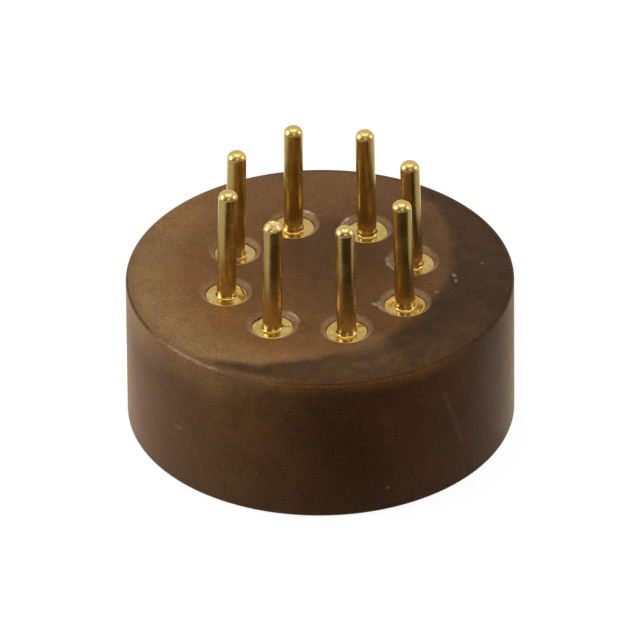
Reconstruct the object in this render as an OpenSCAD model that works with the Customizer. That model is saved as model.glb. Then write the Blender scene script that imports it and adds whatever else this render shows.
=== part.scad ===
// Transistor socket for a round metal-can package with its leads on a circle.
// Turned terminals stand in a round insulator. Each one holds a spring clip that
// grips a package lead, and ends in a round solder tail for the circuit board.
// The seating face for the package is at z = 0, and the solder tails point up.

/* [Insulator] */
// Diameter of the insulator
body_d = 10.16; // [8.6:0.02:14]
// Height of the insulator between its two faces
body_h = 4.15; // [3.5:0.05:6]
// Radius on the outer edges of the insulator
body_edge = 0.1; // [0.02:0.01:0.4]
// Width of the countersink round each hole at the tail side
sink_width = 0.125; // [0.04:0.005:0.2]
// Angle of the countersink
sink_angle = 120; // [60:1:140]

/* [Lead circle] */
// Diameter of the circle on which the leads stand
lead_circle_d = 5.08; // [4.6:0.02:6.6]
// Number of leads
lead_count = 8; // [3:1:8]

/* [Terminal] */
// Diameter of the solder tail
tail_d = 0.508; // [0.44:0.002:0.8]
// Length of the solder tail past the insulator
tail_length = 3.1; // [1.5:0.05:8]
// Radius that rounds the nose of the solder tail
tail_nose = 0.2; // [0.05:0.01:0.2]
// Fillet where the solder tail leaves the barrel
tail_fillet = 0.05; // [0.02:0.01:0.1]
// Diameter of the barrel
barrel_d = 1.09; // [1:0.01:1.2]
// Depth of the barrel's end below the insulator's tail side
barrel_recess = 0.08; // [0.05:0.005:0.5]
// Radius on the edge of the barrel's end
barrel_edge = 0.03; // [0.01:0.01:0.08]
// Wall of the barrel round its bore
barrel_wall = 0.125; // [0.1:0.005:0.15]
// Gap between the barrel and its hole, all round
barrel_gap = 0.02; // [0.01:0.005:0.06]
// Gap drawn at a press fit, all round
press_gap = 0.005; // [0.002:0.001:0.01]
// Length of the press band that holds the terminal in its hole
band_length = 0.4; // [0.2:0.05:0.8]
// Length of the taper that leads the press band into its hole
band_taper = 0.2; // [0.1:0.05:0.4]
// Width of the head's shoulder past the hole
head_shoulder = 0.22; // [0.1:0.01:0.26]
// Thickness of the head
head_h = 0.3; // [0.2:0.02:0.6]
// Depth of the head below the seating face
head_recess = 0.05; // [0.02:0.01:0.3]
// Gap between the head and its counterbore, all round
head_gap = 0.04; // [0.02:0.01:0.06]
// Depth of the funnel in the head
funnel_depth = 0.15; // [0.05:0.01:0.25]
// Width of the funnel's slope
funnel_slope = 0.12; // [0.04:0.01:0.16]
// Angle of the drill point that ends the bore
drill_angle = 118; // [90:1:140]

/* [Contact clip] */
// Thickness of the clip's strip
clip_wall = 0.075; // [0.05:0.005:0.09]
// Width of the clip's collar past the bore
collar_lip = 0.06; // [0.03:0.005:0.08]
// Thickness of the collar
collar_h = 0.1; // [0.06:0.01:0.15]
// Length of the plain sleeve behind the collar
sleeve_length = 0.55; // [0.3:0.05:0.8]
// Length over which the fingers close on the lead
finger_length = 0.95; // [0.6:0.05:1.3]
// Number of fingers
finger_count = 4; // [3:1:6]
// Width of the slot between two fingers
slot_width = 0.12; // [0.06:0.01:0.15]
// Width between the fingers where they grip
throat_d = 0.36; // [0.3:0.01:0.46]
// Length of the grip
throat_length = 0.2; // [0.1:0.02:0.3]
// Length over which the finger tips turn out again
flare_length = 0.15; // [0.08:0.01:0.25]
// How far the finger tips turn out
flare_width = 0.05; // [0.02:0.01:0.08]
// Room for the end of the lead past the finger tips
lead_room = 0.45; // [0.2:0.05:0.6]

/* [Hidden] */
$fn = 96;

// How far a cut runs past the face that it opens
cut_past = 1;

// Angle from one lead to the next
lead_step = 360 / lead_count;

// Radii of the terminal, from its tail out to its head, and of its hole
tail_r = tail_d / 2;
barrel_r = barrel_d / 2;
hole_r = barrel_r + barrel_gap;
sink_r = hole_r + sink_width;
band_r = hole_r - press_gap;
head_r = hole_r + head_shoulder;
counterbore_r = head_r + head_gap;

// Radii inside the terminal, and of the clip that fills it
bore_r = barrel_r - barrel_wall;
seat_r = bore_r + collar_lip;
mouth_r = seat_r + funnel_slope;
collar_r = seat_r - press_gap;
sleeve_r = bore_r - press_gap;
throat_r = throat_d / 2;
flare_r = throat_r + flare_width;

// Depth of the countersink
sink_depth = sink_width / tan(sink_angle / 2);

// Heights of the clip, from its collar to its finger tips
collar_z = head_recess + funnel_depth;
sleeve_z = collar_z + collar_h;
finger_z = sleeve_z + sleeve_length;
throat_z = finger_z + finger_length;
flare_z = throat_z + throat_length;
clip_end_z = flare_z + flare_length;

// Heights of the terminal, from its shoulder to the tip of its tail
shoulder_z = head_recess + head_h;
band_end_z = shoulder_z + band_length;
bore_end_z = clip_end_z + lead_room;
drill_tip_z = bore_end_z + bore_r / tan(drill_angle / 2);
barrel_end_z = body_h - barrel_recess;
tail_tip_z = body_h + tail_length;

body_color = "#6b4c2f";
terminal_color = "#d8b34c";
clip_color = "#c9a23e";

// Puts its children on the axis of one lead. Leads count clockwise seen from the tail side
module at_lead(lead) {
    rotate([0, 0, -lead_step * (lead - 1)])
        translate([lead_circle_d / 2, 0, 0])
            children();
}

// Half section of a round bar on y = 0 with its top edge rounded
module bar_section(r, h, edge) {
    square([r, h - edge]);
    square([r - edge, h]);
    intersection() {
        translate([r - edge, h - edge]) circle(edge);
        square([r, h]);
    }
}

// Half section of the insulator, with both outer edges rounded
module body_section() {
    body_r = body_d / 2;
    translate([0, body_edge]) square([body_r, body_h - 2 * body_edge]);
    square([body_r - body_edge, body_h]);
    for (y = [body_edge, body_h - body_edge])
        translate([body_r - body_edge, y]) circle(body_edge);
}

// Half section of the space for one terminal: counterbore, hole and countersink
module hole_section() {
    translate([0, -cut_past]) square([counterbore_r, cut_past + shoulder_z]);
    square([hole_r, body_h]);
    polygon([
        [0, body_h - sink_depth],
        [hole_r, body_h - sink_depth],
        [sink_r, body_h],
        [sink_r, body_h + cut_past],
        [0, body_h + cut_past]
    ]);
}

// Half section of the terminal's outside: head, press band, barrel and tail
module terminal_outside() {
    translate([0, head_recess]) square([head_r, head_h]);
    polygon([
        [0, head_recess],
        [band_r, head_recess],
        [band_r, band_end_z],
        [barrel_r, band_end_z + band_taper],
        [0, band_end_z + band_taper]
    ]);
    translate([0, head_recess]) bar_section(barrel_r, barrel_end_z - head_recess, barrel_edge);
    translate([0, drill_tip_z]) bar_section(tail_r, tail_tip_z - drill_tip_z, tail_nose);
    difference() {
        translate([tail_r - tail_fillet, barrel_end_z - tail_fillet]) square(2 * tail_fillet);
        translate([tail_r + tail_fillet, barrel_end_z + tail_fillet]) circle(tail_fillet);
    }
}

// Half section of the terminal's inside: funnel, collar seat and drilled bore
module terminal_inside() {
    polygon([
        [0, head_recess - cut_past],
        [mouth_r, head_recess - cut_past],
        [mouth_r, head_recess],
        [seat_r, collar_z],
        [seat_r, sleeve_z],
        [bore_r, sleeve_z],
        [bore_r, bore_end_z],
        [0, drill_tip_z]
    ]);
}

// Half section of the clip, up its outside and back down its inside
module clip_section() {
    polygon([
        [collar_r, collar_z],
        [collar_r, sleeve_z],
        [sleeve_r, sleeve_z],
        [sleeve_r, finger_z],
        [throat_r + clip_wall, throat_z],
        [throat_r + clip_wall, flare_z],
        [flare_r + clip_wall, clip_end_z],
        [flare_r, clip_end_z],
        [throat_r, flare_z],
        [throat_r, throat_z],
        [sleeve_r - clip_wall, finger_z],
        [sleeve_r - clip_wall, sleeve_z],
        [collar_r - clip_wall, collar_z]
    ]);
}

// The slots that part the clip's fingers
module finger_slots() {
    for (finger = [1:finger_count])
        rotate([0, 0, 360 * finger / finger_count])
            translate([0, -slot_width / 2, finger_z])
                cube([bore_r, slot_width, clip_end_z - finger_z + cut_past]);
}

// The round insulator
module body() {
    color(body_color)
        difference() {
            rotate_extrude() body_section();
            for (lead = [1:lead_count])
                at_lead(lead) rotate_extrude() hole_section();
        }
}

// One turned terminal
module terminal(lead) {
    color(terminal_color)
        at_lead(lead)
            rotate_extrude()
                difference() {
                    terminal_outside();
                    terminal_inside();
                }
}

// One spring clip inside its terminal
module contact_clip(lead) {
    color(clip_color)
        at_lead(lead)
            difference() {
                rotate_extrude() clip_section();
                finger_slots();
            }
}

body();
for (lead = [1:lead_count])
    terminal(lead);
for (lead = [1:lead_count])
    contact_clip(lead);
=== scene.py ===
"""A round transistor socket with its solder tails up: fine meshes, materials, light and camera."""
import math
from functools import cached_property

import bmesh
import bpy
from mathutils import Matrix, Vector, noise


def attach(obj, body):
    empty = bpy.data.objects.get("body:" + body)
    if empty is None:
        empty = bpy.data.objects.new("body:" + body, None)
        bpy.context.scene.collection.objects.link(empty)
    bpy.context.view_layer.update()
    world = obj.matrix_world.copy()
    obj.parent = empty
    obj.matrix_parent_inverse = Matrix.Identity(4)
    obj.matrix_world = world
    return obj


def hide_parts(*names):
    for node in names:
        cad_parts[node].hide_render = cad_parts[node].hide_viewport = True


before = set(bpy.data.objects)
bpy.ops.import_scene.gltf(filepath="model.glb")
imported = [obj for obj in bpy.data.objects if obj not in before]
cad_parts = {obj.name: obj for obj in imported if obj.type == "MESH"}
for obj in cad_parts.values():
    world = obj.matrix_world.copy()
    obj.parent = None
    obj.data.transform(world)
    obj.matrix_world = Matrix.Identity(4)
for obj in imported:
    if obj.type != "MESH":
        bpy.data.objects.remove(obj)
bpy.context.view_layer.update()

MM = 0.001

# Sizes of the insulator in millimetres, as in its solid
BODY_R = 5.08
BODY_H = 4.15
BODY_EDGE = 0.1
SINK_WIDTH = 0.125
SINK_ANGLE = math.radians(120)
LEAD_CIRCLE_R = 2.54
LEAD_COUNT = 8

# Sizes of a terminal
TAIL_R = 0.254
TAIL_LENGTH = 3.1
TAIL_NOSE = 0.2
TAIL_FILLET = 0.05
BARREL_R = 0.545
BARREL_RECESS = 0.08
BARREL_EDGE = 0.03
BARREL_WALL = 0.125
BARREL_GAP = 0.02
PRESS_GAP = 0.005
BAND_LENGTH = 0.4
BAND_TAPER = 0.2
HEAD_SHOULDER = 0.22
HEAD_H = 0.3
HEAD_Z = 0.05
HEAD_GAP = 0.04
FUNNEL_DEPTH = 0.15
FUNNEL_SLOPE = 0.12
DRILL_ANGLE = math.radians(118)

# Sizes of a contact clip
CLIP_WALL = 0.075
COLLAR_LIP = 0.06
COLLAR_H = 0.1
SLEEVE_LENGTH = 0.55
FINGER_LENGTH = 0.95
FINGER_COUNT = 4
SLOT_WIDTH = 0.12
THROAT_R = 0.18
THROAT_LENGTH = 0.2
FLARE_LENGTH = 0.15
FLARE_WIDTH = 0.05
LEAD_ROOM = 0.45

# Radii that follow from these sizes
HOLE_R = BARREL_R + BARREL_GAP
SINK_R = HOLE_R + SINK_WIDTH
BAND_R = HOLE_R - PRESS_GAP
HEAD_R = HOLE_R + HEAD_SHOULDER
COUNTERBORE_R = HEAD_R + HEAD_GAP
BORE_R = BARREL_R - BARREL_WALL
SEAT_R = BORE_R + COLLAR_LIP
MOUTH_R = SEAT_R + FUNNEL_SLOPE
COLLAR_R = SEAT_R - PRESS_GAP
SLEEVE_R = BORE_R - PRESS_GAP
FLARE_R = THROAT_R + FLARE_WIDTH

# Heights that follow from these sizes
COLLAR_Z = HEAD_Z + FUNNEL_DEPTH
SLEEVE_Z = COLLAR_Z + COLLAR_H
FINGER_Z = SLEEVE_Z + SLEEVE_LENGTH
THROAT_Z = FINGER_Z + FINGER_LENGTH
FLARE_Z = THROAT_Z + THROAT_LENGTH
CLIP_END_Z = FLARE_Z + FLARE_LENGTH
SHOULDER_Z = HEAD_Z + HEAD_H
BAND_END_Z = SHOULDER_Z + BAND_LENGTH
BORE_END_Z = CLIP_END_Z + LEAD_ROOM
DRILL_TIP_Z = BORE_END_Z + BORE_R / math.tan(DRILL_ANGLE / 2)
BARREL_END_Z = BODY_H - BARREL_RECESS
SINK_END_Z = BODY_H - SINK_WIDTH / math.tan(SINK_ANGLE / 2)
TAIL_TIP_Z = BODY_H + TAIL_LENGTH

# A thin lip of plastic all but closes the gap round each barrel, a little below the barrel's end
LIP_GAP = 0.002
LIP_DEPTH = 0.015
LIP_R = BARREL_R + LIP_GAP
LIP_Z = BARREL_END_Z - LIP_DEPTH

# The tails of the photographed socket lean in by this much at their tips
TAIL_LEAN = 0.084
# The ends of its barrels are softly dented: the depth of the dents and their number to a millimetre
DENT_DEPTH = 0.045
DENT_SCALE = 2.4
# One of its tails was cut off roughly, which left an uneven scar on the nose
SCARRED_LEAD = 4
SCAR_MIDDLE = Vector((-0.01, 0.04, 7.195))
SCAR_WIDTH = 0.17
SCAR_DEPTH = 0.05
SCAR_SCALE = 14.0
SCAR_UNEVENNESS = 0.8

LEAD_ANGLES = [-2 * math.pi * i / LEAD_COUNT for i in range(LEAD_COUNT)]

# How finely the meshes are drawn
BODY_SEGMENTS = 288
BODY_EDGE_STEPS = 8
HOLE_SEGMENTS = 96
TERMINAL_SEGMENTS = 64
TERMINAL_EDGE_STEPS = 6
END_STEPS = 8
NOSE_STEPS = 12
FINGER_STEPS = 12
SHARP_ANGLE = math.radians(30)

# Where the photograph was taken from
CAMERA_AZIMUTH = math.radians(-15.57)
CAMERA_ELEVATION = math.radians(34.1)
CAMERA_ROLL = math.radians(-0.52)
CAMERA_DISTANCE = 431.7
FRAME_PIXELS = 640
PIXELS_PER_MM = 38.157
# Where the middle of the insulator shows in the frame, in pixels
MIDDLE_PIXEL = (320.5, 341.5)
# The ways over the floor to the photograph's right and to its front
TO_RIGHT = (math.cos(CAMERA_AZIMUTH), math.sin(CAMERA_AZIMUTH), 0.0)
TO_FRONT = (math.sin(CAMERA_AZIMUTH), -math.cos(CAMERA_AZIMUTH), 0.0)


# Helpers for meshes


def arc(middle, radius, start, end, steps):
    """Points of an arc in a half section, from one angle to another in degrees."""
    turns = [math.radians(start + (end - start) * i / steps) for i in range(steps + 1)]
    return [(middle[0] + radius * math.cos(t), middle[1] + radius * math.sin(t)) for t in turns]


def turn(mesh, section, segments, axis=(0.0, 0.0)):
    """Turns a half section round an upright axis, and returns its rings of vertices.

    A point on the axis makes a ring of one vertex.
    """
    rings = []
    for radius, height in section:
        count = segments if radius > 0 else 1
        angles = [2 * math.pi * i / count for i in range(count)]
        rings.append([
            mesh.verts.new((
                axis[0] + radius * math.cos(a),
                axis[1] + radius * math.sin(a),
                height,
            ))
            for a in angles
        ])
    for low, high in zip(rings, rings[1:]):
        for i in range(segments):
            j = (i + 1) % segments
            corners = [low[i % len(low)], low[j % len(low)], high[j % len(high)], high[i % len(high)]]
            mesh.faces.new(list(dict.fromkeys(corners)))
    return rings


def fill_flat(mesh, rings):
    """Fills the flat face between an outer ring and the rings of the holes in it."""
    edges = [mesh.edges.get((a, b)) for ring in rings for a, b in zip(ring, ring[1:] + ring[:1])]
    bmesh.ops.triangle_fill(mesh, use_beauty=True, edges=edges)


def mesh_data(mesh, name, material):
    """Makes mesh data of a mesh that was drawn in millimetres."""
    bmesh.ops.recalc_face_normals(mesh, faces=mesh.faces)
    bmesh.ops.scale(mesh, vec=(MM, MM, MM), verts=mesh.verts)
    data = bpy.data.meshes.new(name)
    mesh.to_mesh(data)
    mesh.free()
    data.shade_smooth()
    data.set_sharp_from_angle(angle=SHARP_ANGLE)
    data.materials.append(material)
    return data


def make_piece(data, name):
    """Puts a piece with this mesh into the scene."""
    piece = bpy.data.objects.new(name, data)
    bpy.context.scene.collection.objects.link(piece)
    return piece


def stand_for(piece, node):
    """Lets a piece stand for a solid, with clean shading on its flats."""
    weighted = piece.modifiers.new("flats", "WEIGHTED_NORMAL")
    weighted.keep_sharp = True
    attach(piece, "root")
    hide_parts(node)


# Helpers for materials


def new_material(name):
    """A material whose nodes start with one shader."""
    material = bpy.data.materials.new(name)
    material.use_nodes = True
    return material


class Graph:
    """Short ways to add nodes to a material or a world. Places are in millimetres on the object."""

    def __init__(self, tree):
        self.nodes = tree.nodes
        self.links = tree.links

    @cached_property
    def place(self):
        """The place on the object."""
        return self.scaled(self.add("ShaderNodeTexCoord").outputs["Object"], 1 / MM)

    def add(self, kind, **settings):
        node = self.nodes.new(kind)
        for name, value in settings.items():
            setattr(node, name, value)
        return node

    def put(self, socket, value):
        """Links a socket to another one, or sets its value."""
        if isinstance(value, bpy.types.NodeSocket):
            self.links.new(value, socket)
        else:
            socket.default_value = value

    def put_all(self, node, values):
        """Fills the first inputs of a node."""
        for socket, value in zip(node.inputs, values):
            self.put(socket, value)

    def set_shader(self, values):
        """Fills inputs of the material's shader by name."""
        for name, value in values.items():
            self.put(self.nodes["Principled BSDF"].inputs[name], value)

    def math(self, operation, *values):
        node = self.add("ShaderNodeMath", operation=operation)
        self.put_all(node, values)
        return node.outputs[0]

    def times(self, first, second):
        return self.math("MULTIPLY", first, second)

    def vector(self, operation, *values):
        node = self.add("ShaderNodeVectorMath", operation=operation)
        self.put_all(node, values)
        is_number = operation in ("DOT_PRODUCT", "DISTANCE")
        return node.outputs["Value" if is_number else "Vector"]

    def scaled(self, vector, factor):
        scaled = self.vector("SCALE", vector)
        self.put(scaled.node.inputs["Scale"], factor)
        return scaled

    def split(self):
        """The three coordinates of the place."""
        node = self.add("ShaderNodeSeparateXYZ")
        self.put(node.inputs[0], self.place)
        return node.outputs[:]

    def fade(self, value, start, end, low=0.0, high=1.0):
        """Runs smoothly from low where the value is start to high where it is end."""
        node = self.add("ShaderNodeMapRange", interpolation_type="SMOOTHSTEP")
        self.put_all(node, (value, start, end, low, high))
        return node.outputs[0]

    def vary(self, pattern, low, high, spread=0.2):
        """Runs from low to high as a noise goes through its values on either side of a half."""
        return self.fade(pattern, 0.5 - spread, 0.5 + spread, low, high)

    def noise(self, scale, detail, place=None):
        """Noise with this many bumps to a millimetre."""
        node = self.add("ShaderNodeTexNoise")
        self.put(node.inputs["Vector"], place or self.place)
        self.put(node.inputs["Scale"], scale)
        self.put(node.inputs["Detail"], detail)
        return node.outputs[0]

    def mix(self, share, first, second, blend="MIX"):
        """Goes from the first colour to the second, or to what the blend makes of the two."""
        node = self.add("ShaderNodeMix", data_type="RGBA", blend_type=blend)
        self.put(node.inputs[0], share)
        # The sockets for colours come after those for numbers and vectors
        self.put(node.inputs[6], first)
        self.put(node.inputs[7], second)
        return node.outputs[2]

    def brightness(self, colour, factor):
        """Makes a colour brighter or darker."""
        return self.mix(1, colour, factor, "MULTIPLY")

    def length(self, across, along):
        """Length of a way whose two parts are at right angles."""
        squares = [self.times(part, part) for part in (across, along)]
        return self.math("SQRT", self.math("ADD", *squares))

    def most(self, values):
        """The greatest of some values."""
        greatest = values[0]
        for value in values[1:]:
            greatest = self.math("MAXIMUM", greatest, value)
        return greatest

    def spot(self, middle, reach):
        """1 at a point, fading to 0 at a reach from it."""
        return self.fade(self.vector("DISTANCE", self.place, middle), reach, 0)

    def line(self, start, end, width):
        """1 on the line between two points, fading to 0 at a width from it."""
        way = Vector(end) - Vector(start)
        from_start = self.vector("SUBTRACT", self.place, start)
        along = self.add("ShaderNodeClamp")
        self.put(along.inputs[0], self.vector("DOT_PRODUCT", from_start, way / way.length_squared))
        nearest = self.scaled(way, along.outputs[0])
        return self.fade(self.vector("DISTANCE", from_start, nearest), width, 0)

    def bump(self, height, depth):
        """The normal of a surface whose height varies by a depth."""
        node = self.add("ShaderNodeBump")
        self.put(node.inputs["Distance"], depth * MM)
        self.put(node.inputs["Height"], height)
        return node.outputs[0]


# Brown moulded plastic
# Here and below, a fade is named by its start and end, or by its start, end, low and high

LIGHT_BROWN = (0.168, 0.074, 0.0205, 1)
PALE_BROWN = (0.212, 0.118, 0.045, 1)
DARK_BROWN = (0.061, 0.0267, 0.0082, 1)
DEEP_BROWN = (0.036, 0.0165, 0.006, 1)
WALL_LIGHT_BROWN = (0.115, 0.054, 0.019, 1)
WALL_BROWN = (0.08, 0.032, 0.0115, 1)
# Painted glow of light coming through the upper edge, on the top and on the wall
GLOW_TOP = (0.075, 0.03, 0.005, 1)
GLOW_WALL = (0.19, 0.08, 0.02, 1)
HOLE_BROWN = (0.29, 0.175, 0.085, 1)
# Painted sheen at the left of the upper edge, on the top and on the wall, and a painted highlight on its
# ridge
PAINTED_SHEEN_TOP = (0.165, 0.094, 0.038, 1)
PAINTED_SHEEN_WALL = (0.25, 0.134, 0.056, 1)
PAINTED_RIDGE_HIGHLIGHT = (0.33, 0.225, 0.135, 1)
DUST_SHEEN = (1.0, 0.64, 0.34, 1)
TORN_WHITE = (0.48, 0.38, 0.31, 1)

# Patterns in the plastic: bumps to a millimetre and detail
CLOUDS = (0.55, 4)
MOTTLE = (3.0, 4)
DARK_MOTTLE = (3.5, 4)
TORN_BITS = (9.0, 2)
GRAIN = (24.0, 2)
# How they vary its brightness and roughness: the least, the most and for some the spread of the pattern
CLOUD_SHADES = (0.88, 1.1)
MOTTLE_SHADES = (0.9, 1.1, 0.25)
DARK_MOTTLE_SHADES = (0.8, 1.22)
GRAIN_SHADES = (0.72, 1.28, 0.25)
MOTTLE_ROUGHNESS = (0.36, 0.5, 0.3)
GRAIN_DEPTH = 0.004

# The wall takes over from the top between these distances inside the outer radius
WALL_FROM = 0.04
WALL_FULL = 0.01

# The light area of the plastic is a disc as wide as the insulator, off its middle, and larger on the wall
PATCH_MIDDLE = (-1.251, 1.426, 0.0)
PATCH_R = 5.079
PATCH_SOFTNESS = 0.18
PATCH_WAVER = 0.07
WALL_PATCH_R = 6.3
WALL_SOFTNESS = 0.5
# It is palest near the top's rim, towards this side
PALE_SIDE = (-0.88, -0.47, 0.0)
PALE_RING = (3.2, 4.7)
PALE_SPAN = (-2.0, 4.0)
PALE_LEAST = 0.1
# The plastic is darker towards the middle of the top, and has painted shade on the side away from the palest
# one
DARK_MIDDLE = (0.68, 0.28, 0.0)
DARK_MIDDLE_SPAN = (0.2, 3.9)
DARK_MIDDLE_SHADE = 0.57
PAINTED_SHADE_SPAN = (-4.5, 4.5)
PAINTED_SIDE_SHADES = (0.76, 1.06)

# What follows the upper edge is full within this distance of it
EDGE_CORE = 0.05
# In front, light that comes through the plastic at the edge is painted into its colour as a glow, with one
# reach on the top and one on the wall
# Spans along it run in millimetres to the photograph's right of the middle
GLOW_LEFT = (-3.2, -1.8)
GLOW_RIGHT = (4.3, 2.3)
GLOW_REACHES = (0.25, 0.42)
GLOW_SHARE = 0.85
# On the left a painted sheen lies along it, further down the wall the further left
SHEEN_SPAN = (-0.4, -2.0)
SHEEN_SHARE = 0.8
SHEEN_TOP_REACH = 0.35
SHEEN_WALL_SPAN = (-1.2, -2.6)
SHEEN_WALL_REACHES = (0.4, 1.3)
# There its ridge has a painted highlight with gaps, and painted shade furthest left
RIDGE = (0.08, 0.045)
HIGHLIGHT_LEFT = (-4.7, -3.4)
HIGHLIGHT_RIGHT = (-2.0, -3.0)
HIGHLIGHT_SHARE = 0.85
HIGHLIGHT_GAPS = (0.35, 0.6, 0.5, 1.0)
RIDGE_SHADE_SPAN = (-4.1, -4.6)
RIDGE_SHADE_SHARE = 0.8

# Marks and soft clouds on the photographed socket: start, end, width, strength and colour
MARKS = [
    ((-0.26, -0.12, BODY_H), (0.23, -0.16, BODY_H), 0.16, 0.5, DARK_BROWN),
    ((-0.14, 0.09, BODY_H), (-0.08, 0.11, BODY_H), 0.14, 0.6, DARK_BROWN),
    ((0.13, 0.24, BODY_H), (0.18, 0.22, BODY_H), 0.12, 0.6, DARK_BROWN),
    ((-0.10, -3.50, BODY_H), (0.50, -3.35, BODY_H), 0.60, 0.5, PALE_BROWN),
    ((-0.60, -4.25, BODY_H), (0.50, -4.30, BODY_H), 0.80, 0.2, PALE_BROWN),
    ((2.60, -2.70, BODY_H), (3.70, -1.40, BODY_H), 0.90, 0.5, DEEP_BROWN),
    ((3.45, 0.10, BODY_H), (3.20, 1.80, BODY_H), 0.90, 0.3, DARK_BROWN),
    ((-1.20, -4.94, 2.81), (-0.06, -5.08, 1.10), 1.60, 0.6, DARK_BROWN),
    ((-3.26, -3.89, 3.72), (-2.92, -4.16, 2.63), 0.70, 0.3, LIGHT_BROWN),
    ((2.03, -4.66, 3.10), (2.58, -4.37, 1.32), 0.11, 0.75, WALL_LIGHT_BROWN),
    ((3.37, -0.93, BODY_H), (3.38, -1.01, BODY_H), 0.06, 0.45, TORN_WHITE),
    ((3.33, -1.27, BODY_H), (3.36, -1.18, BODY_H), 0.05, 0.4, TORN_WHITE),
    ((4.22, -0.64, BODY_H), (4.25, -0.64, BODY_H), 0.045, 0.3, TORN_WHITE),
    ((2.68, -1.61, BODY_H), (2.77, -1.59, BODY_H), 0.045, 0.4, TORN_WHITE),
    ((0.98, -1.65, BODY_H), (1.03, -1.72, BODY_H), 0.08, 0.6, TORN_WHITE),
    ((0.36, -5.07, 0.70), (0.37, -5.07, 0.72), 0.05, 0.4, TORN_WHITE),
    ((-4.56, -2.24, 1.79), (-4.48, -2.40, 1.76), 0.035, 0.35, TORN_WHITE),
]

# The countersinks are paler, from a little outside their rims to a little inside
SINK_FADE = (SINK_R + 0.04, SINK_R - 0.07)
# Torn bits on the rims of the holes: lead number, bearing round its axis in degrees, and reach
TORN_RIMS = [
    (1, 57, 0.36),
    (1, 167, 0.30),
    (2, 180, 0.32),
    (4, 15, 0.45),
    (7, 40, 0.33),
    (8, 132, 0.50),
]
# They keep close to the rims, with gaps
TORN_WIDTH = (0.06, 0.02)
TORN_GAPS = (0.3, 0.55)
TORN_SHARE = 0.8


def polar_place(graph):
    """Distance from the socket's axis, height, and distance from the nearest lead's axis."""
    x, y, height = graph.split()
    radius = graph.length(x, y)
    half_step = math.pi / LEAD_COUNT
    angle = graph.math("WRAP", graph.math("ARCTAN2", y, x), half_step, -half_step)
    along = graph.math("SUBTRACT", graph.times(radius, graph.math("COSINE", angle)), LEAD_CIRCLE_R)
    across = graph.times(radius, graph.math("SINE", angle))
    return radius, height, graph.length(along, across)


def patch_colour(graph, radius, on_wall, mottle):
    """A light disc on darker plastic, palest near the rim and darkest towards the middle of the top, with
    painted shade on the side away from the palest one.
    """
    flat_place = graph.vector("MULTIPLY", graph.place, (1, 1, 0))
    distance = graph.vector("DISTANCE", flat_place, PATCH_MIDDLE)
    wavering = graph.math("ADD", distance, graph.vary(mottle, -PATCH_WAVER, PATCH_WAVER))
    past_edge = graph.math("SUBTRACT", wavering, graph.fade(on_wall, 0, 1, PATCH_R, WALL_PATCH_R))
    softness = graph.fade(on_wall, 0, 1, PATCH_SOFTNESS, WALL_SOFTNESS)
    patch = graph.fade(graph.math("DIVIDE", past_edge, softness), 1, -1)

    to_pale_side = graph.vector("DOT_PRODUCT", graph.place, PALE_SIDE)
    ring = graph.times(graph.fade(radius, *PALE_RING), graph.fade(to_pale_side, *PALE_SPAN, PALE_LEAST, 1))
    light = graph.mix(on_wall, graph.mix(ring, LIGHT_BROWN, PALE_BROWN), WALL_LIGHT_BROWN)
    mottled = graph.brightness(DARK_BROWN, graph.vary(graph.noise(*DARK_MOTTLE), *DARK_MOTTLE_SHADES))
    colour = graph.mix(patch, graph.mix(on_wall, mottled, WALL_BROWN), light)

    middle_darkening = graph.fade(graph.vector("DISTANCE", flat_place, DARK_MIDDLE), *DARK_MIDDLE_SPAN, DARK_MIDDLE_SHADE, 1)
    # Painted shade on the side away from the palest one
    side_shade = graph.fade(to_pale_side, *PAINTED_SHADE_SPAN, *PAINTED_SIDE_SHADES)
    return graph.brightness(colour, graph.times(middle_darkening, side_shade))


def painted_edge_glow(graph, colour, from_edge, to_right, on_wall):
    """Paints the light that comes through the plastic along its upper edge in front into its colour, as a
    glow.
    """
    along = graph.times(graph.fade(to_right, *GLOW_LEFT), graph.fade(to_right, *GLOW_RIGHT))
    reach = graph.fade(on_wall, 0, 1, *GLOW_REACHES)
    share = graph.times(graph.fade(from_edge, reach, EDGE_CORE, 0, GLOW_SHARE), along)
    return graph.mix(share, colour, graph.mix(on_wall, GLOW_TOP, GLOW_WALL))


def painted_edge_sheen(graph, colour, from_edge, to_right, on_wall, mottle):
    """Paints a sheen along the upper edge on the left, and a highlight and shade on its ridge."""
    wall_reach = graph.fade(to_right, *SHEEN_WALL_SPAN, *SHEEN_WALL_REACHES)
    reach = graph.fade(on_wall, 0, 1, SHEEN_TOP_REACH, wall_reach)
    near = graph.fade(from_edge, reach, EDGE_CORE, 0, SHEEN_SHARE)
    sheen_share = graph.times(near, graph.fade(to_right, *SHEEN_SPAN))
    colour = graph.mix(sheen_share, colour, graph.mix(on_wall, PAINTED_SHEEN_TOP, PAINTED_SHEEN_WALL))

    on_ridge = graph.fade(from_edge, *RIDGE)
    left_end = graph.fade(to_right, *HIGHLIGHT_LEFT)
    right_end = graph.fade(to_right, *HIGHLIGHT_RIGHT, 0, HIGHLIGHT_SHARE)
    ridge_highlight = graph.times(graph.times(left_end, right_end), graph.fade(mottle, *HIGHLIGHT_GAPS))
    colour = graph.mix(graph.times(on_ridge, ridge_highlight), colour, PAINTED_RIDGE_HIGHLIGHT)
    ridge_shade = graph.fade(to_right, *RIDGE_SHADE_SPAN, 0, RIDGE_SHADE_SHARE)
    return graph.mix(graph.times(on_ridge, ridge_shade), colour, DARK_BROWN)


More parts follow.
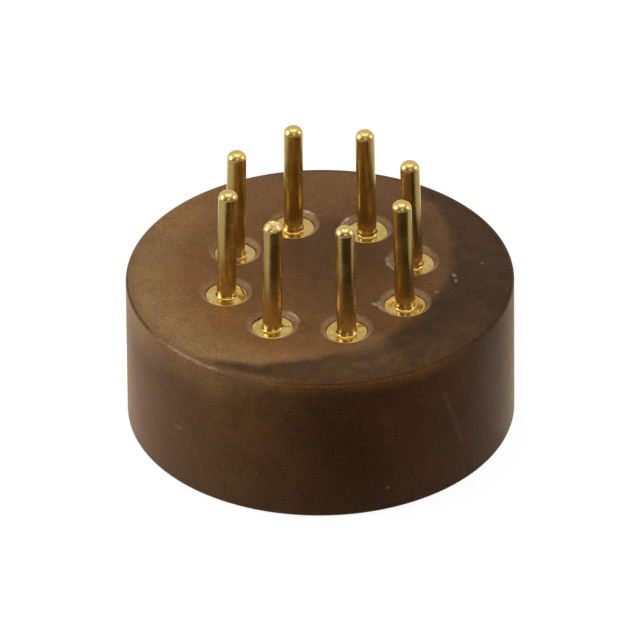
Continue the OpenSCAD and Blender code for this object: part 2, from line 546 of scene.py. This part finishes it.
def torn_rims(graph, axis_distance):
    """The share of torn plastic along the rims of the holes."""
    spots = []
    for lead, bearing, reach in TORN_RIMS:
        axis = LEAD_ANGLES[lead - 1]
        turn_by = math.radians(bearing)
        middle = (
            LEAD_CIRCLE_R * math.cos(axis) + SINK_R * math.cos(turn_by),
            LEAD_CIRCLE_R * math.sin(axis) + SINK_R * math.sin(turn_by),
            BODY_H,
        )
        spots.append(graph.spot(middle, reach))
    from_rim = graph.math("ABSOLUTE", graph.math("SUBTRACT", axis_distance, SINK_R))
    bits = graph.fade(graph.noise(*TORN_BITS), *TORN_GAPS)
    broken = graph.times(graph.fade(from_rim, *TORN_WIDTH), bits)
    return graph.times(graph.times(graph.most(spots), broken), TORN_SHARE)


def brown_plastic():
    """Satin plastic with clouds, mottle and grain, and the wear of the photographed socket."""
    material = new_material("brown_plastic")
    graph = Graph(material.node_tree)
    radius, height, axis_distance = polar_place(graph)
    clouds = graph.noise(*CLOUDS)
    mottle = graph.noise(*MOTTLE)
    grain = graph.noise(*GRAIN)
    on_wall = graph.fade(radius, BODY_R - WALL_FROM, BODY_R - WALL_FULL)
    to_right = graph.vector("DOT_PRODUCT", graph.place, TO_RIGHT)
    inwards = graph.math("SUBTRACT", BODY_R, radius)
    down = graph.math("SUBTRACT", BODY_H, height)
    from_edge = graph.length(inwards, down)

    colour = patch_colour(graph, radius, on_wall, mottle)
    # Painted glow of light through the upper edge in front
    colour = painted_edge_glow(graph, colour, from_edge, to_right, on_wall)
    # Painted sheen, highlight and shade along the upper edge on the left
    colour = painted_edge_sheen(graph, colour, from_edge, to_right, on_wall, mottle)
    colour = graph.mix(graph.fade(axis_distance, *SINK_FADE), colour, HOLE_BROWN)
    colour = graph.mix(torn_rims(graph, axis_distance), colour, TORN_WHITE)
    for start, end, width, strength, mark in MARKS:
        colour = graph.mix(graph.times(graph.line(start, end, width), strength), colour, mark)

    shade = graph.times(graph.vary(clouds, *CLOUD_SHADES), graph.vary(mottle, *MOTTLE_SHADES))
    shade = graph.times(shade, graph.vary(grain, *GRAIN_SHADES))
    graph.set_shader({
        "Base Color": graph.brightness(colour, shade),
        "Roughness": graph.vary(mottle, *MOTTLE_ROUGHNESS),
        "Specular IOR Level": 0.06,
        "Normal": graph.bump(grain, GRAIN_DEPTH),
    })
    # Fine dust makes the plastic paler where it is seen along its surface
    graph.set_shader({
        "Sheen Weight": 0.44,
        "Sheen Roughness": 0.32,
        "Sheen Tint": DUST_SHEEN,
    })
    # Light goes a little way into the plastic, red light furthest
    graph.set_shader({
        "Subsurface Weight": 0.6,
        "Subsurface Radius": (1, 0.4, 0.15),
        "Subsurface Scale": 0.3 * MM,
    })
    return material


# Gold plate

TERMINAL_GOLD = (0.68, 0.48, 0.155, 1)
CLIP_GOLD = (0.6, 0.42, 0.14, 1)
TORN_METAL = (0.42, 0.28, 0.17, 1)
STAINED_GOLD = (0.53, 0.36, 0.1, 1)
TERMINAL_ROUGHNESS = 0.25
CLIP_ROUGHNESS = 0.26

# Patterns in the plate: bumps to a millimetre and detail
TURNING = (1.0, 3)
HAZE = (2.0, 3)
PITS = (22.0, 2)
STAINS = (4.5, 2)
WAVES = (2.2, 0)
# The marks of turning are long round the axis and short along it
TURNING_STRETCH = (0.6, 0.6, 30.0)
# How the patterns vary the plate's brightness, roughness and height
HAZE_SHADES = (0.9, 1.05)
PIT_SHADES = (0.92, 1.06)
HAZE_SMOOTHS = 0.04
HAZE_ROUGHENS = 0.05
HAZE_SPREAD = 0.25
RELIEF_DEPTH = 0.0012
# The barrel is stained, smoother than the tail, and wavy by many times the depth of the other relief
BARREL_FADE = (BARREL_END_Z + 0.06, BARREL_END_Z + 0.02)
BARREL_STAIN = (0.6, 0.4, 0.2, 0.9)
BARREL_ROUGHNESS_SHARE = 0.55
BARREL_RELIEF = 14.0
SCAR_ROUGHNESS = 0.2


def gold(name, colour, roughness, barrel=False, scarred=False):
    """Gold plate with turning marks, haze and fine pits, and on a terminal its barrel and scar."""
    material = new_material(name)
    graph = Graph(material.node_tree)
    rings = graph.noise(*TURNING, graph.vector("MULTIPLY", graph.place, TURNING_STRETCH))
    haze = graph.noise(*HAZE)
    pits = graph.noise(*PITS)
    relief = graph.math("ADD", rings, pits)
    shade = graph.times(graph.vary(haze, *HAZE_SHADES), graph.vary(pits, *PIT_SHADES))
    colour = graph.brightness(colour, shade)
    roughness = graph.vary(haze, roughness - HAZE_SMOOTHS, roughness + HAZE_ROUGHENS, HAZE_SPREAD)
    if barrel:
        on_barrel = graph.fade(graph.split()[2], *BARREL_FADE)
        stain = graph.fade(graph.noise(*STAINS), *BARREL_STAIN)
        colour = graph.mix(graph.fade(on_barrel, 0, 1, 0, stain), colour, STAINED_GOLD)
        roughness = graph.times(roughness, graph.fade(on_barrel, 0, 1, 1, BARREL_ROUGHNESS_SHARE))
        waves = graph.times(graph.times(on_barrel, BARREL_RELIEF), graph.noise(*WAVES))
        relief = graph.math("ADD", relief, waves)
    if scarred:
        on_scar = graph.spot(SCAR_MIDDLE, SCAR_WIDTH)
        colour = graph.mix(on_scar, colour, TORN_METAL)
        roughness = graph.math("ADD", roughness, graph.times(on_scar, SCAR_ROUGHNESS))
    graph.set_shader({
        "Base Color": colour,
        "Roughness": roughness,
        "Metallic": 1,
        "Normal": graph.bump(relief, RELIEF_DEPTH),
    })
    return material


# Pieces


def body_mesh():
    """The insulator with its stepped holes."""
    mesh = bmesh.new()
    inner = BODY_R - BODY_EDGE
    outline = arc((inner, BODY_EDGE), BODY_EDGE, -90, 0, BODY_EDGE_STEPS)
    outline += arc((inner, BODY_H - BODY_EDGE), BODY_EDGE, 0, 90, BODY_EDGE_STEPS)
    outer = turn(mesh, outline, BODY_SEGMENTS)
    hole = [
        (SINK_R, BODY_H),
        (HOLE_R, SINK_END_Z),
        (LIP_R, LIP_Z),
        (HOLE_R, 2 * LIP_Z - SINK_END_Z),
        (HOLE_R, SHOULDER_Z),
        (COUNTERBORE_R, SHOULDER_Z),
        (COUNTERBORE_R, 0.0),
    ]
    axes = [(LEAD_CIRCLE_R * math.cos(a), LEAD_CIRCLE_R * math.sin(a)) for a in LEAD_ANGLES]
    holes = [turn(mesh, hole, HOLE_SEGMENTS, axis) for axis in axes]
    fill_flat(mesh, [outer[-1]] + [rings[0] for rings in holes])
    fill_flat(mesh, [outer[0]] + [rings[-1] for rings in holes])
    return mesh


def dent_end(vertex):
    """Presses a vertex of a barrel's end into soft dents, which run out at the edge and on the tail."""
    share = max(0.0, 1 - abs(vertex.co.z - BARREL_END_Z) / (2 * BARREL_EDGE))
    uneven = noise.noise(vertex.co * DENT_SCALE)
    vertex.co.z -= DENT_DEPTH * share * (0.5 + uneven)


def cut_scar(vertex):
    """Presses a vertex of a nose into the rough scar."""
    share = max(0.0, 1 - (vertex.co - SCAR_MIDDLE).length / SCAR_WIDTH)
    uneven = noise.noise(vertex.co * SCAR_SCALE)
    vertex.co.z -= SCAR_DEPTH * math.sqrt(share) * (1 + SCAR_UNEVENNESS * uneven)


def terminal_mesh(scarred=False):
    """One turned terminal on its own axis, from the drill point inside to the tip of the tail."""
    mesh = bmesh.new()
    inside = [
        (0.0, DRILL_TIP_Z),
        (BORE_R, BORE_END_Z),
        (BORE_R, SLEEVE_Z),
        (SEAT_R, SLEEVE_Z),
        (SEAT_R, COLLAR_Z),
        (MOUTH_R, HEAD_Z),
    ]
    outside = [
        (HEAD_R, HEAD_Z),
        (HEAD_R, SHOULDER_Z),
        (BAND_R, SHOULDER_Z),
        (BAND_R, BAND_END_Z),
        (BARREL_R, BAND_END_Z + BAND_TAPER),
    ]
    end_r = BARREL_R - BARREL_EDGE
    foot_r = TAIL_R + TAIL_FILLET
    outside += arc((end_r, BARREL_END_Z - BARREL_EDGE), BARREL_EDGE, 0, 90, TERMINAL_EDGE_STEPS)
    outside += [(end_r - (end_r - foot_r) * i / END_STEPS, BARREL_END_Z) for i in range(1, END_STEPS)]
    outside += arc((foot_r, BARREL_END_Z + TAIL_FILLET), TAIL_FILLET, -90, -180, TERMINAL_EDGE_STEPS)
    outside += arc((TAIL_R - TAIL_NOSE, TAIL_TIP_Z - TAIL_NOSE), TAIL_NOSE, 0, 90, NOSE_STEPS)
    outside += [(0.0, TAIL_TIP_Z)]
    turn(mesh, inside + outside, TERMINAL_SEGMENTS)
    for vertex in mesh.verts:
        rise = max(0.0, vertex.co.z - BARREL_END_Z) / (TAIL_TIP_Z - BARREL_END_Z)
        dent_end(vertex)
        vertex.co.x -= TAIL_LEAN * rise
        if scarred:
            cut_scar(vertex)
    return mesh


def clip_ring(mesh, radius, height):
    """Vertices round the clip, with the slots' edges between the fingers."""
    sector = 2 * math.pi / FINGER_COUNT
    half_slot = math.asin(SLOT_WIDTH / 2 / radius)
    span = sector - 2 * half_slot
    angles = [
        sector * finger + half_slot + span * step / FINGER_STEPS
        for finger in range(FINGER_COUNT)
        for step in range(FINGER_STEPS + 1)
    ]
    return [mesh.verts.new((radius * math.cos(a), radius * math.sin(a), height)) for a in angles]


def clip_skin(mesh, low, high, slots_too):
    """Faces between two rings of the clip, over the fingers alone or over the slots as well."""
    for i in range(len(low)):
        j = (i + 1) % len(low)
        on_finger = (i + 1) % (FINGER_STEPS + 1)
        if slots_too or on_finger:
            mesh.faces.new((low[i], low[j], high[j], high[i]))


def clip_mesh():
    """One spring clip on its own axis: a collar and sleeve, then fingers that close on the lead."""
    mesh = bmesh.new()
    sleeve_outside = [
        (COLLAR_R, COLLAR_Z),
        (COLLAR_R, SLEEVE_Z),
        (SLEEVE_R, SLEEVE_Z),
    ]
    fingers_outside = [
        (SLEEVE_R, FINGER_Z),
        (THROAT_R + CLIP_WALL, THROAT_Z),
        (THROAT_R + CLIP_WALL, FLARE_Z),
        (FLARE_R + CLIP_WALL, CLIP_END_Z),
    ]
    sleeve_inside = [
        (COLLAR_R - CLIP_WALL, COLLAR_Z),
        (SLEEVE_R - CLIP_WALL, SLEEVE_Z),
    ]
    fingers_inside = [
        (SLEEVE_R - CLIP_WALL, FINGER_Z),
        (THROAT_R, THROAT_Z),
        (THROAT_R, FLARE_Z),
        (FLARE_R, CLIP_END_Z),
    ]
    outer = [clip_ring(mesh, *point) for point in sleeve_outside + fingers_outside]
    inner = [clip_ring(mesh, *point) for point in sleeve_inside + fingers_inside]
    for rings, sleeve in ((outer, sleeve_outside), (inner, sleeve_inside)):
        for i, (low, high) in enumerate(zip(rings, rings[1:])):
            clip_skin(mesh, low, high, i < len(sleeve))
    clip_skin(mesh, outer[0], inner[0], True)
    clip_skin(mesh, outer[-1], inner[-1], False)

    # Walls of the slots, and the bottom of each slot on the sleeve
    pairs = list(zip(outer[len(sleeve_outside):], inner[len(sleeve_inside):]))
    for finger in range(FINGER_COUNT):
        first = finger * (FINGER_STEPS + 1)
        last = first + FINGER_STEPS
        following = (last + 1) % len(outer[0])
        for edge in (first, last):
            for (low_out, low_in), (high_out, high_in) in zip(pairs, pairs[1:]):
                mesh.faces.new((low_out[edge], high_out[edge], high_in[edge], low_in[edge]))
        root_out, root_in = pairs[0]
        mesh.faces.new((root_out[last], root_out[following], root_in[following], root_in[last]))
    return mesh


def place_on_leads(name, node, data_of_leads):
    """Puts one piece on the axis of each lead."""
    for number, (angle, data) in enumerate(zip(LEAD_ANGLES, data_of_leads), 1):
        piece = make_piece(data, f"{name}_{number}")
        piece.matrix_world = Matrix.Rotation(angle, 4, "Z") @ Matrix.Translation((LEAD_CIRCLE_R * MM, 0, 0))
        stand_for(piece, f"{node}_{number}")


def add_pieces():
    """Every piece of the socket, each for the solid that it stands for."""
    insulator = make_piece(mesh_data(body_mesh(), "insulator", brown_plastic()), "insulator")
    stand_for(insulator, "body")
    plate = gold("gold_plate", TERMINAL_GOLD, TERMINAL_ROUGHNESS, barrel=True)
    scarred_plate = gold("gold_plate_scarred", TERMINAL_GOLD, TERMINAL_ROUGHNESS, barrel=True, scarred=True)
    terminals = [mesh_data(terminal_mesh(), "terminal", plate)] * LEAD_COUNT
    terminals[SCARRED_LEAD - 1] = mesh_data(terminal_mesh(scarred=True), "scarred_terminal", scarred_plate)
    clip = mesh_data(clip_mesh(), "clip", gold("gold_spring", CLIP_GOLD, CLIP_ROUGHNESS))
    place_on_leads("gold_terminal", "terminal", terminals)
    place_on_leads("gold_clip", "contact_clip", [clip] * LEAD_COUNT)


# Floor, light and camera

FLOOR_SIZE = 600.0
FLOOR_Z = -0.002
FLOOR_GREY = (0.5, 0.5, 0.5, 1)
SHADOW_GREY = (0.16, 0.16, 0.16, 1)
FLOOR_WHITE = 0.9

# A dark card stands in for shade on the floor, seen only in reflections: it lies in front of the socket and,
# thinner, on either side
# Its sizes run to the camera's right and away from the camera
CARD_Z = -0.001
CARD_LEFT = -11.4
CARD_SIDE = 9.0
CARD_NEAR = 3.0
CARD_NEAR_BACK = -1.5
CARD_FRONT = -5.5
CARD_BACK = 8.0
CARD_REACH = 60.0
CARD_SHADE = (0.03, 0.022, 0.014, 1)
CARD_SHADE_FLECKS = (0.05, 0.036, 0.024, 1)
CARD_PATTERN = (1.5, 2)
# How it thickens towards the front and from the left, and outwards on either side
CARD_THICKENS = (5.0, 6.5, 0.3, 1.0)
CARD_LEFT_FADE = 3.8
CARD_SIDE_FADE = 1.0
CARD_SIDE_THICKNESS = 0.5

# The room's strength goes from front to back as the way turns towards its brightest side
ROOM_WHITE = (1, 1, 1, 1)
ROOM_SPAN = (-0.3, 0.8)
ROOM_FRONT = 0.06
ROOM_FRONT_IN_GLOSS = 0.16
ROOM_BACK = 0.85

# Lamps: name, place as seen from the camera and size in millimetres, and watts
LAMPS = [
    ("top_lamp", (0.0, 20.0, 170.0), 140.0, 0.08),
    ("left_lamp", (-145.0, 0.0, 68.0), 100.0, 0.14),
    ("right_lamp", (145.0, 0.0, 68.0), 80.0, 0.045),
    ("front_lamp", (70.0, -490.0, 336.0), 250.0, 0.25),
]


def camera_axes():
    """The ways to the camera, to its right and up in its picture."""
    across = math.cos(CAMERA_ELEVATION)
    back = Vector((TO_FRONT[0] * across, TO_FRONT[1] * across, math.sin(CAMERA_ELEVATION)))
    right = Vector(TO_RIGHT)
    tilt = Matrix.Rotation(CAMERA_ROLL, 3, back)
    return back, tilt @ right, tilt @ back.cross(right)


def seen_from_camera(right, away, up):
    """A point given by its way to the camera's right, away from the camera and up, in millimetres."""
    spin = Matrix.Rotation(CAMERA_AZIMUTH, 3, "Z")
    return spin @ Vector((right, away, up)) * MM


def add_camera():
    """A camera where the photograph's stood, with the socket in the same place of the frame."""
    back, right, up = camera_axes()
    aim = Vector((0, 0, BODY_H / 2))
    aim += right * (FRAME_PIXELS / 2 - MIDDLE_PIXEL[0]) / PIXELS_PER_MM
    aim += up * (MIDDLE_PIXEL[1] - FRAME_PIXELS / 2) / PIXELS_PER_MM
    data = bpy.data.cameras.new("camera")
    data.lens = PIXELS_PER_MM * CAMERA_DISTANCE / FRAME_PIXELS * data.sensor_width
    camera = bpy.data.objects.new("camera", data)
    bpy.context.scene.collection.objects.link(camera)
    pose = Matrix((right, up, back)).transposed().to_4x4()
    pose.translation = (aim + back * CAMERA_DISTANCE) * MM
    camera.matrix_world = pose
    bpy.context.scene.camera = camera


def add_lamp(name, at, size, watts):
    """A soft square lamp that faces the socket."""
    data = bpy.data.lights.new(name, "AREA")
    data.size = size * MM
    data.energy = watts
    lamp = bpy.data.objects.new(name, data)
    bpy.context.scene.collection.objects.link(lamp)
    lamp.location = seen_from_camera(*at)
    lamp.rotation_euler = (-lamp.location).to_track_quat("-Z", "Y").to_euler()


def floor_material():
    """Pale floor that shows white, with a faint shadow, to the camera and in reflections."""
    material = new_material("pale_floor")
    graph = Graph(material.node_tree)
    path = graph.add("ShaderNodeLightPath")
    seen = graph.most([path.outputs[f"Is {kind} Ray"] for kind in ("Camera", "Glossy", "Transmission")])
    plain = graph.add("ShaderNodeBsdfDiffuse")
    graph.put(plain.inputs["Color"], FLOOR_GREY)
    shadowed = graph.add("ShaderNodeBsdfDiffuse")
    graph.put(shadowed.inputs["Color"], SHADOW_GREY)
    white = graph.add("ShaderNodeEmission")
    graph.put(white.inputs["Strength"], FLOOR_WHITE)
    both = graph.add("ShaderNodeAddShader")
    graph.put_all(both, (shadowed.outputs[0], white.outputs[0]))
    choice = graph.add("ShaderNodeMixShader")
    graph.put_all(choice, (seen, plain.outputs[0], both.outputs[0]))
    graph.put(graph.nodes["Material Output"].inputs["Surface"], choice.outputs[0])
    graph.nodes.remove(graph.nodes["Principled BSDF"])
    return material


def add_floor():
    """A plain floor just under the socket."""
    mesh = bmesh.new()
    bmesh.ops.create_grid(mesh, x_segments=1, y_segments=1, size=FLOOR_SIZE / 2)
    bmesh.ops.translate(mesh, vec=(0, 0, FLOOR_Z), verts=mesh.verts)
    make_piece(mesh_data(mesh, "floor", floor_material()), "floor")


def shadow_card_material():
    """Dark card, standing in for shade on the floor, that is dense straight in front of the socket and
    thinner elsewhere.
    """
    material = new_material("shadow_card")
    graph = Graph(material.node_tree)
    to_right = graph.vector("DOT_PRODUCT", graph.place, TO_RIGHT)
    to_front = graph.vector("DOT_PRODUCT", graph.place, TO_FRONT)
    from_left = graph.fade(to_right, CARD_LEFT, CARD_LEFT + CARD_LEFT_FADE)
    front = graph.times(graph.fade(to_front, *CARD_THICKENS), from_left)
    outwards = graph.math("ABSOLUTE", to_right)
    side = graph.fade(outwards, CARD_SIDE, CARD_SIDE + CARD_SIDE_FADE, 0, CARD_SIDE_THICKNESS)
    graph.set_shader({
        "Base Color": graph.mix(graph.noise(*CARD_PATTERN), CARD_SHADE, CARD_SHADE_FLECKS),
        "Roughness": 1,
        "Specular IOR Level": 0,
        "Alpha": graph.most([front, side]),
    })
    return material


def add_shadow_card():
    """A card that only reflections show, standing in for shade on the floor, which gives the metal its dark
    side.
    """
    mesh = bmesh.new()
    corners = [
        (-CARD_REACH, CARD_BACK),
        (-CARD_REACH, -CARD_REACH),
        (CARD_REACH, -CARD_REACH),
        (CARD_REACH, CARD_BACK),
        (CARD_SIDE, CARD_BACK),
        (CARD_SIDE, CARD_NEAR_BACK),
        (CARD_NEAR, CARD_NEAR_BACK),
        (CARD_NEAR, CARD_FRONT),
        (-CARD_SIDE, CARD_FRONT),
        (-CARD_SIDE, CARD_BACK),
    ]
    mesh.faces.new([mesh.verts.new(seen_from_camera(*corner, CARD_Z) / MM) for corner in corners])
    card = make_piece(mesh_data(mesh, "shadow_card", shadow_card_material()), "shadow_card")
    card.visible_camera = False
    card.visible_diffuse = False
    card.visible_shadow = False


def add_world():
    """A soft room that is brighter behind the socket than in front. Reflections show its front less dark."""
    world = bpy.data.worlds.new("soft_room")
    bpy.context.scene.world = world
    world.use_nodes = True
    graph = Graph(world.node_tree)
    way = graph.add("ShaderNodeTexCoord").outputs["Generated"]
    brightest = seen_from_camera(0, math.cos(CAMERA_ELEVATION), math.sin(CAMERA_ELEVATION)) / MM
    towards = graph.vector("DOT_PRODUCT", way, brightest)
    in_gloss = graph.add("ShaderNodeLightPath").outputs["Is Glossy Ray"]
    front = graph.math("MULTIPLY_ADD", in_gloss, ROOM_FRONT_IN_GLOSS, ROOM_FRONT)
    background = graph.nodes["Background"]
    graph.put(background.inputs["Color"], ROOM_WHITE)
    graph.put(background.inputs["Strength"], graph.fade(towards, *ROOM_SPAN, front, ROOM_BACK))


add_pieces()
add_camera()
add_floor()
# Shade on the floor in reflections, stood in for by a dark card
add_shadow_card()
add_world()
for lamp in LAMPS:
    add_lamp(*lamp)
bpy.context.scene.view_settings.view_transform = "Standard"
